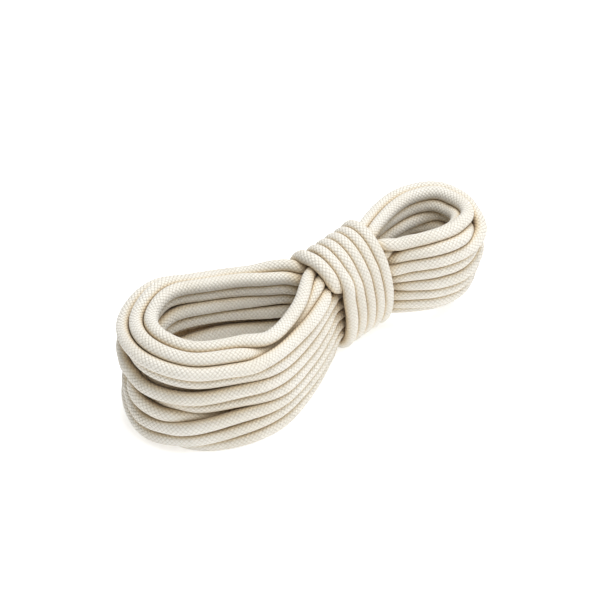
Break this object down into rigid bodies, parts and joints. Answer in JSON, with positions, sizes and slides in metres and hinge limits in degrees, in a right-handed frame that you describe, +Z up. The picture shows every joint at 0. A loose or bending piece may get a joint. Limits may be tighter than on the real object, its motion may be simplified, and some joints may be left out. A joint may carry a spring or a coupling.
{
  "type": "coiled dock line",
  "caption": "Braided dock line wound into an oval hank and gripped round its waist by wraps of the same rope.",
  "frame": {"origin": "centre of the bounding box's underside, on the ground under the hank", "axes": "+X along the hank from the big near loop to the small far loop, +Y to the side whose turns are stacked lower and wider, +Z up"},
  "size_m": [0.252, 0.0939, 0.0784],
  "materials": {
    "braided_rope": "matt off-white cotton braid",
    "whipping_twine": "waxed white twine",
    "sealed_tip": "fibres sealed by heat"
  },
  "bodies": {
    "root": {"near_loop": "braided_rope", "far_loop": "braided_rope", "waist_bundle": "braided_rope", "wrap_1": "braided_rope", "wrap_2": "braided_rope", "wrap_3": "braided_rope", "wrap_4": "braided_rope", "wrap_5": "braided_rope", "crossing_turn": "braided_rope", "tail": "braided_rope", "tail_whipping": "whipping_twine", "tail_tip": "sealed_tip"}
  },
  "joints": []
}
